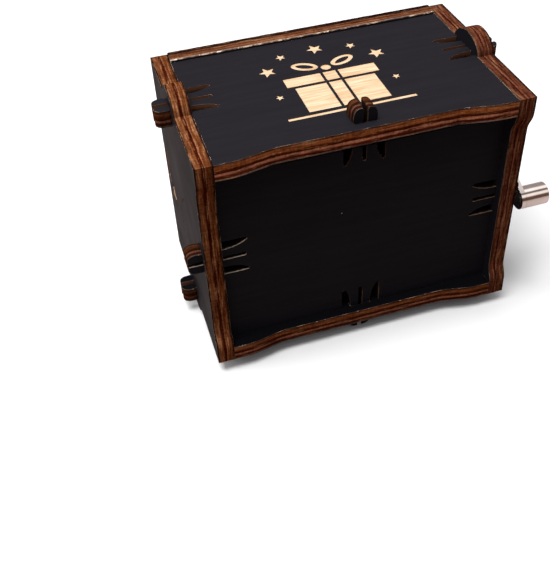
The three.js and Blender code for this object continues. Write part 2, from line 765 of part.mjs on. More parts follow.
// Worm: one right-hand thread swept round a core and trimmed square at both ends
function threadGeometry(turns) {
  const flankSlope = Math.tan(pressureAngle);
  const crestHalf = (wormLead - backlash) / 4 - gearModule * flankSlope;
  const rootHalf = crestHalf + (wormTipRadius - wormRootRadius) * flankSlope;
  const buriedRadius = (wormRootRadius + arborRadius) / 2;
  const section = [[rootHalf, buriedRadius], [rootHalf, wormRootRadius], [crestHalf, wormTipRadius],
    [-crestHalf, wormTipRadius], [-rootHalf, wormRootRadius], [-rootHalf, buriedRadius]];
  const corners = section.length;
  const steps = turns * threadSteps;
  const positions = [];
  const index = [];
  for (let i = 0; i <= steps; i += 1) {
    const turned = (i - steps / 2) / threadSteps;
    const angle = Math.PI + 2 * Math.PI * turned;
    for (const [offset, radius] of section) {
      positions.push(wormLead * turned + offset, radius * Math.cos(angle), radius * Math.sin(angle));
    }
  }
  for (let i = 0; i < steps; i += 1) {
    for (let j = 0; j < corners; j += 1) {
      const [a, b] = [i * corners + j, i * corners + (j + 1) % corners];
      index.push(a, b, a + corners, b, b + corners, a + corners);
    }
  }
  for (let j = 1; j < corners - 1; j += 1) {
    const last = steps * corners;
    index.push(0, j + 1, j, last, last + j, last + j + 1);
  }
  const geometry = new THREE.BufferGeometry();
  geometry.setAttribute('position', new THREE.Float32BufferAttribute(positions, 3));
  geometry.setIndex(index);
  return geometry;
}

function addWorm() {
  const half = wormLength / 2;
  const turns = 2 * Math.ceil((wormLength / wormLead + 1) / 2);
  const core = turn(rod(wormRootRadius, -half, half), alongX, 0, 0, 0);
  const envelope = turn(rod(wormTipRadius + cutOverrun, -half, half), alongX, 0, 0, 0);
  const bore = turn(rod(arborRadius + pressFit, -half - cutOverrun, half + cutOverrun), alongX, 0, 0, 0);
  const thread = solid(threadGeometry(turns)).intersect(solid(envelope));
  const worm = geometryOf(solid(core).add(thread).subtract(solid(bore)));
  addPart('worm', 'brass', worm.translate(drumX, shaftY, crankHeight));
}

// Crank-shaft bracket: a bent strip with two upright ears that end in round heads
function bracketEar(x) {
  const radius = bushRadius + bracketHeadWall;
  const riseTo = (z) => Math.asin(THREE.MathUtils.clamp((z - crankHeight) / radius, -1, 1));
  const shape = new THREE.Shape();
  shape.moveTo(bedTopY, bracketLowZ);
  const start = -Math.PI - riseTo(bracketLowZ);
  arcTo(shape, shaftY, crankHeight, radius, start, Math.PI - riseTo(bracketHighZ));
  shape.lineTo(bedTopY, bracketHighZ);
  shape.holes.push(roundHole(shaftY, crankHeight, bushRadius + pressFit));
  return extrude(shape, bracketThickness, onYZ, x, 0, 0);
}

function addBracket() {
  const left = leftEarX - bracketFoot;
  const right = drumX + bracketReach;
  const [low, high] = [bracketLowZ, bracketHighZ];
  const strip = outline([left, low], [right, low], [right, high], [left, high]);
  for (const [x, z] of bracketScrewPlaces()) {
    strip.holes.push(roundHole(x, z, machineScrewRadius + screwClearance, screwSegments));
  }
  const base = extrude(strip, bracketThickness, onXZ, 0, bedTopY + bracketThickness, 0);
  addPart('shaft_bracket', 'steel', join(base, bracketEar(leftEarX), bracketEar(rightEarX)));
}

// Crank shaft: a turned rod with a clip groove outside each ear and a riveted end outside the arm
const leftClipX = leftEarX - endPlay - clipThickness;
const rightClipX = rightEarX + bracketThickness + endPlay;
const grooveRadius = arborRadius - clipGroove;

function groove(x) {
  return [[arborRadius, x], [grooveRadius, x], [grooveRadius, x + clipThickness],
    [arborRadius, x + clipThickness]];
}

function addCrankShaft() {
  const tailX = leftClipX - shaftTail;
  const shoulderX = armInnerX - pressFit;
  const headX = armOuterX + pressFit;
  const profile = [[0, tailX], [arborRadius, tailX], ...groove(leftClipX), ...groove(rightClipX),
    [arborRadius, shoulderX], [spigotRadius, shoulderX], [spigotRadius, headX],
    [rivetHeadRadius, headX], [rivetHeadRadius * headTopShare, headX + rivetHeadHeight],
    [0, headX + rivetHeadHeight]];
  addPart('crank_shaft', 'steel', turn(profile, alongX, 0, shaftY, crankHeight));
  const clip = ring(grooveRadius + pressFit, arborRadius + clipRim, pressFit, clipThickness - pressFit);
  addPart('shaft_clip_left', 'steel', turn(clip, alongX, leftClipX, shaftY, crankHeight));
  addPart('shaft_clip_right', 'steel', turn(clip, alongX, rightClipX, shaftY, crankHeight));
}

// Crank arm: a flat bar that tapers from its hub to the knob and ends as round as the knob is. The knob
// pin is countersunk in its inner face, so that nothing there reaches towards the snap tabs
function addCrankArm() {
  const side = Math.PI / 2 - Math.asin((armHubRadius - knobRadius) / crankRadius);
  const shape = new THREE.Shape();
  shape.setFromPoints([
    ...circle(0, 0, armHubRadius, side, 2 * Math.PI - side),
    ...circle(crankRadius, 0, knobRadius, -side, side),
  ]);
  const pinHole = knobPinRadius + pressFit;
  const sinkRadius = rivetHeadRadius + 2 * pressFit;
  const sinkDepth = sinkRadius - pinHole;
  shape.holes.push(roundHole(0, 0, spigotRadius + pressFit));
  shape.holes.push(roundHole(crankRadius, 0, pinHole));
  const sink = [[0, -cutOverrun], [sinkRadius + cutOverrun, -cutOverrun], [pinHole, sinkDepth],
    [0, sinkDepth]];
  const bar = extrude(shape, armThickness, onYZ, 0, 0, 0);
  const arm = cut(bar, turn(sink, alongX, 0, crankRadius, 0));
  arm.rotateX(crankRestAngle).translate(armInnerX, shaftY, crankHeight);
  addPart('crank_arm', 'steel', arm);
}

// Knob: a roller on a riveted pin, whose outer head lies in a recess of the roller
function addKnob() {
  const tipY = shaftY + crankRadius * Math.cos(crankRestAngle);
  const tipZ = crankHeight + crankRadius * Math.sin(crankRestAngle);
  const atTip = (profile) => turn(profile, alongX, 0, 0, 0).rotateX(crankRestAngle).translate(0, tipY, tipZ);
  const bore = knobPinRadius + runningFit;
  const recessRadius = rivetHeadRadius + endPlay;
  const chamfer = Math.min(knobChamfer, (knobRadius - recessRadius) / 2);
  const recessFloor = knobLength - knobRecessDepth;
  const profile = [[bore, 0], [knobRadius - chamfer, 0], [knobRadius, chamfer],
    [knobRadius, knobLength - chamfer], [knobRadius - chamfer, knobLength], [recessRadius, knobLength],
    [recessRadius, recessFloor], [bore, recessFloor], [bore, 0]];
  const knobX = armOuterX + knobPlay;
  addPart('crank_knob', 'steel', atTip(profile).translate(knobX, 0, 0));
  const innerHead = armInnerX + pressFit;
  const outerHead = knobX + recessFloor + knobPlay;
  const headTop = rivetHeadRadius * headTopShare;
  const pin = [[0, innerHead], [rivetHeadRadius, innerHead],
    [knobPinRadius, innerHead + rivetHeadRadius - knobPinRadius], [knobPinRadius, outerHead],
    [rivetHeadRadius, outerHead], [headTop, outerHead + rivetHeadHeight], [0, outerHead + rivetHeadHeight]];
  addPart('knob_pin', 'steel', atTip(pin));
}

addSidePanels();
addFlatPanels();
addFrontPanel();
addRearPanel();
addBedplate();
addComb();
addScrews();
addDrum();
addArbor();
addBushes();
addWormWheel();
addWorm();
addBracket();
addCrankShaft();
addCrankArm();
addKnob();

export default musicBox;
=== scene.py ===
import math

import bmesh
import bpy
from mathutils import Matrix, Vector, noise
from mathutils.bvhtree import BVHTree


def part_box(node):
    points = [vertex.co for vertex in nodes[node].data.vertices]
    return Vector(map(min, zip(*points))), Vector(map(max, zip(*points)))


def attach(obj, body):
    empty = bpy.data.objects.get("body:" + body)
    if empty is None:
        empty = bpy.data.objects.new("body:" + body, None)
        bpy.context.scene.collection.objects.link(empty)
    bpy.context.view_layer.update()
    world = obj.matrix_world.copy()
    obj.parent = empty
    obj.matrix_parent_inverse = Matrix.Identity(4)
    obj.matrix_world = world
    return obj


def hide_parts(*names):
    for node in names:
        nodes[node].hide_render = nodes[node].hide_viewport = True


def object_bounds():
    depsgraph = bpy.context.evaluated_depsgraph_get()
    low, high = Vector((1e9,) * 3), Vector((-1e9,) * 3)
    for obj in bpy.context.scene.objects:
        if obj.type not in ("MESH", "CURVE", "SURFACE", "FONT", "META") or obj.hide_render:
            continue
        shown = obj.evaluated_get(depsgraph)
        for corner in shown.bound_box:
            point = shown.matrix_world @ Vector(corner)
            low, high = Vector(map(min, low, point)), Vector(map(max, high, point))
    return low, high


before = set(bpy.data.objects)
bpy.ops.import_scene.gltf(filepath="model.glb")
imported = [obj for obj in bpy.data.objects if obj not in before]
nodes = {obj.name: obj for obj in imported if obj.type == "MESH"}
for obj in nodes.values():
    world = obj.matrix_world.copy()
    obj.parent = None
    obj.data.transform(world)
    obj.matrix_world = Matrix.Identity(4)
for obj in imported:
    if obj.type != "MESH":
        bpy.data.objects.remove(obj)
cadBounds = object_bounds()
mm = 0.001
print("frame loaded")


# Colours are written as they look, 0 to 255

def srgb(red, green, blue):
    def linear(value):
        value /= 255
        return value / 12.92 if value <= 0.04045 else ((value + 0.055) / 1.055) ** 2.4
    return linear(red), linear(green), linear(blue), 1.0


# Camera, from the corners of the box in the photo

cameraLook = {
    "place": (-47.88, -133.36, 133.76),   # mm
    "right": (0.9567, -0.2875, -0.0443),
    "up": (0.2207, 0.6181, 0.7544),
    "focalPixels": 846,
    "middlePixel": (275, 230),
    "frame": (550, 575),
    "sensor": 36,        # mm
    "nearest": 5,
}


def addCamera(look):
    width, height = look["frame"]
    longSide = max(width, height)
    data = bpy.data.cameras.new("camera")
    data.sensor_width = look["sensor"]
    data.lens = look["focalPixels"] * data.sensor_width / longSide
    data.shift_x = (width / 2 - look["middlePixel"][0]) / longSide
    data.shift_y = (look["middlePixel"][1] - height / 2) / longSide
    data.clip_start = look["nearest"] * mm
    camera = bpy.data.objects.new("camera", data)
    right = Vector(look["right"]).normalized()
    back = right.cross(Vector(look["up"])).normalized()
    up = back.cross(right)
    turned = Matrix((right, up, back)).transposed().to_4x4()
    camera.matrix_world = Matrix.Translation(Vector(look["place"]) * mm) @ turned
    bpy.context.scene.collection.objects.link(camera)
    bpy.context.scene.camera = camera


addCamera(cameraLook)
print("camera set")


# Node helpers

def newMaterial(name):
    material = bpy.data.materials.new(name)
    material.use_nodes = True
    return material, material.node_tree, material.node_tree.nodes["Principled BSDF"]


def addNode(tree, kind, inputs=None, **settings):
    node = tree.nodes.new("ShaderNode" + kind)
    for key, value in settings.items():
        setattr(node, key, value)
    for key, value in (inputs or {}).items():
        if isinstance(value, bpy.types.NodeSocket):
            tree.links.new(value, node.inputs[key])
        else:
            node.inputs[key].default_value = value
    return node


def objectPlace(tree, scale=(1, 1, 1)):
    coordinates = addNode(tree, "TexCoord")
    return addNode(tree, "Mapping", {"Vector": coordinates.outputs["Object"], "Scale": scale}).outputs[0]


def noiseValue(tree, scale, detail=4, roughness=0.6):
    inputs = {"Vector": objectPlace(tree, scale), "Scale": 1, "Detail": detail, "Roughness": roughness}
    return addNode(tree, "TexNoise", inputs).outputs[0]


def between(tree, value, low, high, toLow=0.0, toHigh=1.0):
    inputs = {"Value": value, "From Min": low, "From Max": high, "To Min": toLow, "To Max": toHigh}
    return addNode(tree, "MapRange", inputs, clamp=True).outputs[0]


def calculate(tree, operation, first, second):
    return addNode(tree, "Math", {0: first, 1: second}, operation=operation).outputs[0]


def mixed(tree, factor, first, second, blend="MIX"):
    inputs = {0: factor, 6: first, 7: second}
    return addNode(tree, "Mix", inputs, data_type="RGBA", blend_type=blend).outputs[2]


def rampColour(tree, value, stops):
    node = addNode(tree, "ValToRGB", {0: value})
    ramp = node.color_ramp
    while len(ramp.elements) > 1:
        ramp.elements.remove(ramp.elements[0])
    for i, (share, colour) in enumerate(stops):
        element = ramp.elements[0] if i == 0 else ramp.elements.new(share)
        element.position = share
        element.color = srgb(*colour)
    return node.outputs[0]


def addBump(tree, shader, height, strength, distance):
    inputs = {"Height": height, "Strength": strength, "Distance": distance * mm}
    tree.links.new(addNode(tree, "Bump", inputs).outputs[0], shader.inputs["Normal"])


# Light: a room that is pale above and dim below, with a broad lamp overhead and a weak one on the left

lightLook = {
    "view": "Standard",
    # From straight down to straight up
    "sky": [(0.0, (74, 70, 70)), (0.5, (92, 86, 84)), (0.62, (120, 114, 112)), (0.74, (176, 172, 172)),
            (0.88, (250, 248, 248)), (0.95, (226, 224, 226)), (1.0, (150, 150, 152))],
    "skyStrength": 0.62,
    "frontShare": 0.9,   # of the light from behind
    "frontToBack": (-0.8, 0.5),
    # What metal sees instead, from the front over the top to the back
    "seen": [(0.0, (92, 71, 60)), (0.15, (94, 73, 62)), (0.22, (250, 240, 234)), (0.31, (250, 240, 234)),
             (0.375, (104, 95, 90)), (0.44, (104, 95, 90)), (0.49, (255, 250, 247)), (0.61, (255, 250, 247)),
             (0.69, (144, 135, 132)), (1.0, (140, 131, 128))],
    "seenStrength": 1.7,
    "backdrop": (250, 250, 251),   # what the camera sees
    "aim": (0, 0, 25),   # mm
    "lamps": [
        {"name": "top_lamp", "place": (-90, -30, 430), "size": 300, "watts": 2.6},
        {"name": "left_lamp", "place": (-400, 60, 250), "size": 200, "watts": 0.3},
    ],
}


def addLights(look):
    scene = bpy.context.scene
    scene.view_settings.view_transform = look["view"]
    world = bpy.data.worlds.new("world")
    world.use_nodes = True
    tree = world.node_tree
    background = tree.nodes["Background"]
    direction = addNode(tree, "SeparateXYZ", {0: addNode(tree, "TexCoord").outputs["Generated"]})
    sky = rampColour(tree, between(tree, direction.outputs[2], -1, 1), look["sky"])
    behind = between(tree, direction.outputs[1], *look["frontToBack"], look["frontShare"], 1)
    forward = calculate(tree, "MULTIPLY", direction.outputs[1], -1)
    turned = calculate(tree, "ARCTAN2", direction.outputs[2], forward)
    seen = rampColour(tree, between(tree, turned, 0, math.pi), look["seen"])
    path = addNode(tree, "LightPath")
    glossy, camera = path.outputs["Is Glossy Ray"], path.outputs["Is Camera Ray"]
    colour = mixed(tree, glossy, mixed(tree, behind, (0, 0, 0, 1), sky), seen)
    tree.links.new(mixed(tree, camera, colour, srgb(*look["backdrop"])), background.inputs["Color"])
    strength = between(tree, glossy, 0, 1, look["skyStrength"], look["seenStrength"])
    tree.links.new(between(tree, camera, 0, 1, strength, 1), background.inputs["Strength"])
    scene.world = world
    for lamp in look["lamps"]:
        data = bpy.data.lights.new(lamp["name"], "AREA")
        data.shape = "DISK"
        data.size = lamp["size"] * mm
        data.energy = lamp["watts"]
        light = bpy.data.objects.new(lamp["name"], data)
        place = Vector(lamp["place"]) * mm
        towardsBox = (Vector(look["aim"]) * mm - place).to_track_quat("-Z", "Y")
        light.matrix_world = Matrix.Translation(place) @ towardsBox.to_matrix().to_4x4()
        scene.collection.objects.link(light)


addLights(lightLook)


# Floor: pale to the camera, duller to the box, and far off it fades into the backdrop

floorLook = {
    "colour": (246, 246, 247),
    "mirroredColour": (206, 190, 184),   # in metal and at the sheen of the paint
    "thrownColour": (148, 124, 113),     # in the light that it throws back at the box
    "size": 4000,        # mm
    "fade": (230, 620),
    "roughness": 0.9,
}


def addFloor(look):
    bm = bmesh.new()
    bmesh.ops.create_grid(bm, size=look["size"] * mm / 2)
    bmesh.ops.translate(bm, verts=bm.verts, vec=(0, 0, cadBounds[0][2]))
    mesh = bpy.data.meshes.new("floor")
    bm.to_mesh(mesh)
    bm.free()
    floor = bpy.data.objects.new("floor", mesh)
    bpy.context.scene.collection.objects.link(floor)
    material, tree, shader = newMaterial("floor")
    path = addNode(tree, "LightPath")
    thrown, mirrored = srgb(*look["thrownColour"]), srgb(*look["mirroredColour"])
    colour = mixed(tree, path.outputs["Is Glossy Ray"], thrown, mirrored)
    colour = mixed(tree, path.outputs["Is Camera Ray"], colour, srgb(*look["colour"]))
    tree.links.new(colour, shader.inputs["Base Color"])
    distance = addNode(tree, "VectorMath", {0: objectPlace(tree)}, operation="LENGTH").outputs["Value"]
    far = between(tree, distance, *(end * mm for end in look["fade"]))
    glow = calculate(tree, "MULTIPLY", far, path.outputs["Is Camera Ray"])
    tree.links.new(glow, shader.inputs["Emission Strength"])
    shader.inputs["Emission Color"].default_value = srgb(*look["colour"])
    shader.inputs["Roughness"].default_value = look["roughness"]
    shader.inputs["Specular IOR Level"].default_value = 0
    mesh.materials.append(material)


addFloor(floorLook)


# Black paint on the panels' faces

paintLook = {
    "colour": (26, 25, 30),
    "streakColour": (22, 21, 25),
    "speckColour": (150, 144, 134),
    "streaks": {"along": 70, "across": 1100, "from": 0.35, "to": 0.7},
    "patches": {"perMetre": 60, "from": 0.3, "to": 0.7},
    "specksPerMetre": 230,
    "speckShare": 0.022,
    "speckRadiusShare": 0.03,
    "roughness": (0.5, 0.62),
    "bump": 0.07,
    "bumpDepth": 0.05,
}


def paintMaterial(name, grainAxis, toneAndPaintedShade, specular, look):
    material, tree, shader = newMaterial(name)
    streaks = look["streaks"]
    scale = [streaks["across"]] * 3
    scale[grainAxis] = streaks["along"]
    grain = noiseValue(tree, scale, detail=3)
    patches = look["patches"]
    patch = noiseValue(tree, [patches["perMetre"]] * 3, detail=2)
    streak = between(tree, grain, streaks["from"], streaks["to"])
    colour = mixed(tree, streak, srgb(*look["colour"]), srgb(*look["streakColour"]))
    # The panel's paint factor darkens the paint towards black: painted shade, set below 1 on the bottom panel
    # only
    colour = mixed(tree, toneAndPaintedShade, (0, 0, 0, 1), colour)
    cells = addNode(tree, "TexVoronoi", {"Vector": objectPlace(tree), "Scale": look["specksPerMetre"]})
    chance = addNode(tree, "SeparateColor", {"Color": cells.outputs["Color"]}).outputs[0]
    chosen = calculate(tree, "LESS_THAN", chance, look["speckShare"])
    near = calculate(tree, "LESS_THAN", cells.outputs["Distance"], look["speckRadiusShare"])
    speck = calculate(tree, "MULTIPLY", chosen, near)
    tree.links.new(mixed(tree, speck, colour, srgb(*look["speckColour"])), shader.inputs["Base Color"])
    roughness = between(tree, patch, patches["from"], patches["to"], *look["roughness"])
    tree.links.new(roughness, shader.inputs["Roughness"])
    shader.inputs["Specular IOR Level"].default_value = specular
    addBump(tree, shader, grain, look["bump"], look["bumpDepth"])
    return material


# Cut plywood edges: pale and dark plies, scorched by the laser

plyLook = {
    "bands": {
        "upright": [(0.00, (26, 16, 13)), (0.05, (44, 25, 18)), (0.10, (134, 82, 52)), (0.34, (138, 80, 46)),
                    (0.39, (82, 29, 13)), (0.53, (74, 24, 11)), (0.57, (170, 112, 76)), (0.63, (120, 64, 32)),
                    (0.84, (128, 72, 40)), (0.92, (70, 40, 27)), (0.97, (34, 21, 16)), (1.00, (26, 17, 14))],
        "outer": [(0.00, (128, 104, 90)), (0.05, (104, 70, 54)), (0.12, (116, 64, 46)), (0.28, (134, 76, 54)),
                  (0.34, (80, 30, 20)), (0.42, (90, 36, 24)), (0.46, (164, 102, 76)), (0.54, (124, 68, 48)),
                  (0.60, (84, 36, 25)), (0.66, (128, 72, 50)), (0.86, (116, 62, 44)), (0.92, (60, 34, 26)),
                  (0.96, (40, 26, 21)), (1.00, (72, 50, 40))],
        "flat": [(0.00, (110, 90, 80)), (0.07, (150, 122, 106)), (0.11, (84, 28, 14)), (0.24, (92, 32, 16)),
                 (0.28, (144, 82, 58)), (0.34, (206, 138, 108)), (0.42, (188, 118, 90)), (0.46, (78, 26, 12)),
                 (0.60, (96, 42, 20)), (0.66, (160, 90, 48)), (0.84, (164, 94, 52)), (0.92, (108, 62, 42)),
                 (1.00, (84, 62, 52))],
        "rear": [(0.00, (196, 156, 134)), (0.13, (176, 132, 108)), (0.17, (60, 28, 18)),
                 (0.25, (160, 100, 68)), (0.40, (136, 76, 46)), (0.46, (80, 32, 18)), (0.52, (150, 94, 62)),
                 (0.64, (104, 60, 42)), (0.69, (46, 29, 25)), (1.00, (32, 22, 20))],
    },
    "wobble": {"perMetre": 180, "share": 0.018},
    "ripple": {"perMetre": 1300, "share": 0.014},
    "waves": (0.3, 0.7),
    "streaks": {"along": 230, "across": 2700},
    "burnColour": (46, 17, 9),
    "burn": (0.52, 0.68),
    "paleColour": (214, 156, 110),
    "pale": (0.46, 0.3),
    "paleShare": 0.75,
    "kerf": {"through": 420, "across": 2600, "from": 0.3, "to": 0.6, "darkest": 0.66},
    "mottle": {"perMetre": 3300, "from": 0.35, "to": 0.6, "darkest": 0.58},
    "roughness": 0.55,
    "specular": 0.0,
    "bump": 0.5,
    "bumpDepth": 0.08,
}
# The snap tabs are darkened, partly by laser scorch and partly as painted shade
scorchAndShadeLook = {"colour": (22, 13, 10), "share": 0.62}   # on the snap tabs


def plyMaterial(name, through, low, thickness, bands, toneAndPaintedShade, look, scorchAndShade=None):
    material, tree, shader = newMaterial(name)

    def stretched(amount, other):
        scale = [other] * 3
        scale[through] = amount
        return scale

    streaks, kerf, mottle = look["streaks"], look["kerf"], look["mottle"]
    grain = noiseValue(tree, stretched(streaks["across"], streaks["along"]), detail=5, roughness=0.65)
    lines = noiseValue(tree, stretched(kerf["through"], kerf["across"]), detail=2)
    blots = noiseValue(tree, [mottle["perMetre"]] * 3, detail=3, roughness=0.7)
    place = addNode(tree, "SeparateXYZ", {0: objectPlace(tree)}).outputs[through]
    across = between(tree, place, low, low + thickness)
    for wave in (look["wobble"], look["ripple"]):
        value = noiseValue(tree, [wave["perMetre"]] * 3, detail=2)
        shift = between(tree, value, *look["waves"], -wave["share"], wave["share"])
        across = calculate(tree, "ADD", across, shift)
    colour = rampColour(tree, across, look["bands"][bands])
    colour = mixed(tree, between(tree, grain, *look["burn"]), colour, srgb(*look["burnColour"]))
    pale = calculate(tree, "MULTIPLY", between(tree, grain, *look["pale"]), look["paleShare"])
    colour = mixed(tree, pale, colour, srgb(*look["paleColour"]))
    # The panel's factor darkens the ply: partly the wood's tone, partly painted shade
    lined = between(tree, lines, kerf["from"], kerf["to"], kerf["darkest"] * toneAndPaintedShade, toneAndPaintedShade)
    blotted = between(tree, blots, mottle["from"], mottle["to"], mottle["darkest"], 1.0)
    colour = mixed(tree, calculate(tree, "MULTIPLY", lined, blotted), (0, 0, 0, 1), colour)
    # Darker tabs: partly scorch, partly painted shade
    if scorchAndShade:
        colour = mixed(tree, scorchAndShade["share"], colour, srgb(*scorchAndShade["colour"]))
    tree.links.new(colour, shader.inputs["Base Color"])
    shader.inputs["Roughness"].default_value = look["roughness"]
    shader.inputs["Specular IOR Level"].default_value = look["specular"]
    addBump(tree, shader, grain, look["bump"], look["bumpDepth"])
    return material


# The rim between paint and cut: scorched, rubbed brown, and pale in places, partly chipped paint and partly a
# painted highlight along the arris

rimLook = {
    "colour": (30, 21, 18),
    "rubbedColour": (116, 84, 64),
    "paleColour": (190, 168, 146),
    "chipColour": (224, 212, 196),
    "rubbed": (0.42, 0.52),
    "pale": (0.51, 0.58),
    "chips": (0.63, 0.67),
    "roughness": 0.5,
}
# Rims at the slits are lighter than the outer rims: painted highlight where light from above catches them,
# besides rubbed and chipped spots
slitRimLook = {
    "colour": (66, 46, 37),
    "rubbedColour": (104, 78, 62),
    "paleColour": (168, 146, 128),
    "chipColour": (214, 198, 176),
    "rubbed": (0.42, 0.54),
    "pale": (0.54, 0.66),
    "chips": (0.7, 0.75),
    "roughness": 0.6,
}
rimWearAndSheen = {"wearAndSheenPerMetre": 330, "chipsPerMetre": 700}


def rimMaterial(name, look):
    material, tree, shader = newMaterial(name)
    wearAndSheen = noiseValue(tree, [rimWearAndSheen["wearAndSheenPerMetre"]] * 3, detail=4, roughness=0.7)
    chips = noiseValue(tree, [rimWearAndSheen["chipsPerMetre"]] * 3, detail=2)
    bare, rubbed = srgb(*look["colour"]), srgb(*look["rubbedColour"])
    colour = mixed(tree, between(tree, wearAndSheen, *look["rubbed"]), bare, rubbed)
    # Pale along the arris: partly worn paint, partly painted highlight
    colour = mixed(tree, between(tree, wearAndSheen, *look["pale"]), colour, srgb(*look["paleColour"]))
    colour = mixed(tree, between(tree, chips, *look["chips"]), colour, srgb(*look["chipColour"]))
    tree.links.new(colour, shader.inputs["Base Color"])
    shader.inputs["Roughness"].default_value = look["roughness"]
    return material


# Slit walls: dark deep down, partly char and partly painted shade, with a brown or pale lip next to each face
# of the panel as a painted highlight

charAndShadeLook = {
    "colour": (15, 10, 8),
    "sootColour": (34, 21, 15),
    "sootPerMetre": 1500,
    "soot": (0.45, 0.7),
    "lipWaves": (0.3, 0.7),
    "lipRagged": 0.12,   # mm
    "roughness": 0.8,
    "specular": 0.05,
}


def slitWallMaterial(name, through, low, thickness, lip, look):
    material, tree, shader = newMaterial(name)
    soot = noiseValue(tree, [look["sootPerMetre"]] * 3, detail=3)
    place = addNode(tree, "SeparateXYZ", {0: objectPlace(tree)})
    middle = low + thickness / 2
    out = calculate(tree, "ABSOLUTE", calculate(tree, "SUBTRACT", place.outputs[through], middle), 0)
    start, end = (x * mm for x in lip["paleToBrown"])
    pale, brown = srgb(*lip["paleColour"]), srgb(*lip["colour"])
    litLip = mixed(tree, between(tree, place.outputs[0], start, end), pale, brown)
    shift = look["lipRagged"] * mm
    ragged = calculate(tree, "ADD", out, between(tree, soot, *look["lipWaves"], -shift, shift))
    edge = between(tree, ragged, thickness / 2 - lip["reach"] * mm, thickness / 2 - lip["full"] * mm)
    charAndShadeColour, sootColour = srgb(*look["colour"]), srgb(*look["sootColour"])
    charAndShade = mixed(tree, between(tree, soot, *look["soot"]), charAndShadeColour, sootColour)
    # Painted highlight at the lip near each face, painted shade with char deeper in the slit
    tree.links.new(mixed(tree, edge, charAndShade, litLip), shader.inputs["Base Color"])
    shader.inputs["Roughness"].default_value = look["roughness"]
    shader.inputs["Specular IOR Level"].default_value = look["specular"]
    return material


rim = rimMaterial("rim", rimLook)
slitRim = rimMaterial("slit_rim", slitRimLook)


# Panels: each is a merged copy of its solid with rounder curves and broken, slightly ragged rims

panelLook = {
    # Corners turned by least to most degrees are rounded, where the edges beside them are over edge mm
    "round": {"least": 2, "most": 32, "edge": 0.3, "throughShare": 0.9, "percent": 33, "segments": 3},
    "step": 0.5,         # mm between points along a rim
    "rim": 0.17,
    "ragged": 0.04,
    "raggedPerMetre": 900,
    "seed": 4,           # 0 would be the clock, and other rims on each run
    "slitReach": 2.6,    # a wall that faces another this near is inside a slit
    "slitClear": 0.2,
    "tabClear": 0.2,
    "flat": 0.95,        # how squarely a face looks through the panel: paint above this
    "sloping": 0.25,     # and rim above this
    "sharp": 20,         # degrees
    "paintSlot": 0, "plySlot": 1, "rimSlot": 2, "slitSlot": 3, "tabSlot": 4, "slitRimSlot": 5,
}
weld = 0.001             # mm
flattened = 1            # degrees
levelFrom = 0.5          # a face that looks up or down by more than this is level
# Lip colours are painted light on the slit walls; paleToBrown makes the front panel's left slits paler, a
# painted highlight
brownLitLip = {"colour": (96, 62, 44), "paleColour": (104, 68, 48), "reach": 1.3, "full": 0.5,
            "paleToBrown": (-20, -12)}   # mm
paleLitLip = {"colour": (104, 80, 68), "paleColour": (172, 152, 138), "reach": 0.36, "full": 0.12,
           "paleToBrown": (-20, -12)}    # mm
# Each panel's ply factor darkens its cut edges, partly for the wood's tone and partly as painted shade for
# how light falls on that panel; the paint factor is painted shade on the bottom panel
panels = {
    "left_panel": {"through": 0, "grain": 2, "tabs": (), "bands": "upright", "toneAndPaintedShade": 0.76, "paintedShadeOnPaint": 1,
                   "specular": 0.02, "lip": brownLitLip},
    "right_panel": {"through": 0, "grain": 2, "tabs": (), "bands": "outer", "toneAndPaintedShade": 0.64, "paintedShadeOnPaint": 1,
                    "specular": 0.05, "lip": brownLitLip},
    "bottom_panel": {"through": 2, "grain": 0, "tabs": (0,), "bands": "flat", "toneAndPaintedShade": 0.62,
                     "paintedShadeOnPaint": 0.35, "specular": 0.02, "lip": brownLitLip, "wave": True},
    "top_panel": {"through": 2, "grain": 0, "tabs": (0,), "bands": "flat", "toneAndPaintedShade": 1.0,
                  "paintedShadeOnPaint": 1, "specular": 0.05, "lip": brownLitLip, "wave": True,
                  "ends": [{"axis": 0, "from": 32.4, "shorter": 0.4}]},
    "front_panel": {"through": 1, "grain": 0, "tabs": (0, 2), "bands": "flat", "toneAndPaintedShade": 0.58,
                    "paintedShadeOnPaint": 1, "specular": 0.02, "lip": paleLitLip,
                    "ends": [{"axis": 0, "from": 32.4, "shorter": 1.3}]},
    "rear_panel": {"through": 1, "grain": 0, "tabs": (), "bands": "rear", "toneAndPaintedShade": 0.6,
                   "paintedShadeOnPaint": 1, "specular": 0.05, "lip": brownLitLip,
                   "ends": [{"axis": 2, "from": 49, "shorter": -0.45}]},
}
# Front edges of the top and bottom panels: mm, but reachDepths counts depths
waveLook = {"land": 2.8, "run": 9.2, "depth": 1.35, "step": 0.8, "reachDepths": 1.6}
caseInside = (Vector((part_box("left_panel")[1].x, 0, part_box("bottom_panel")[1].z)),
              Vector((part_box("right_panel")[0].x, 0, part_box("top_panel")[0].z)))


def mergedCopy(name):
    bm = bmesh.new()
    bm.from_mesh(nodes[name].data)
    bmesh.ops.remove_doubles(bm, verts=bm.verts, dist=weld * mm)
    bmesh.ops.dissolve_limit(bm, angle_limit=math.radians(flattened), verts=bm.verts, edges=bm.edges)
    bm.normal_update()
    return bm


def flatFace(face, through):
    return abs(face.normal[through]) > panelLook["flat"]


def rimEdges(bm, through):
    return [edge for edge in bm.edges if len(edge.link_faces) == 2
            and flatFace(edge.link_faces[0], through) != flatFace(edge.link_faces[1], through)]


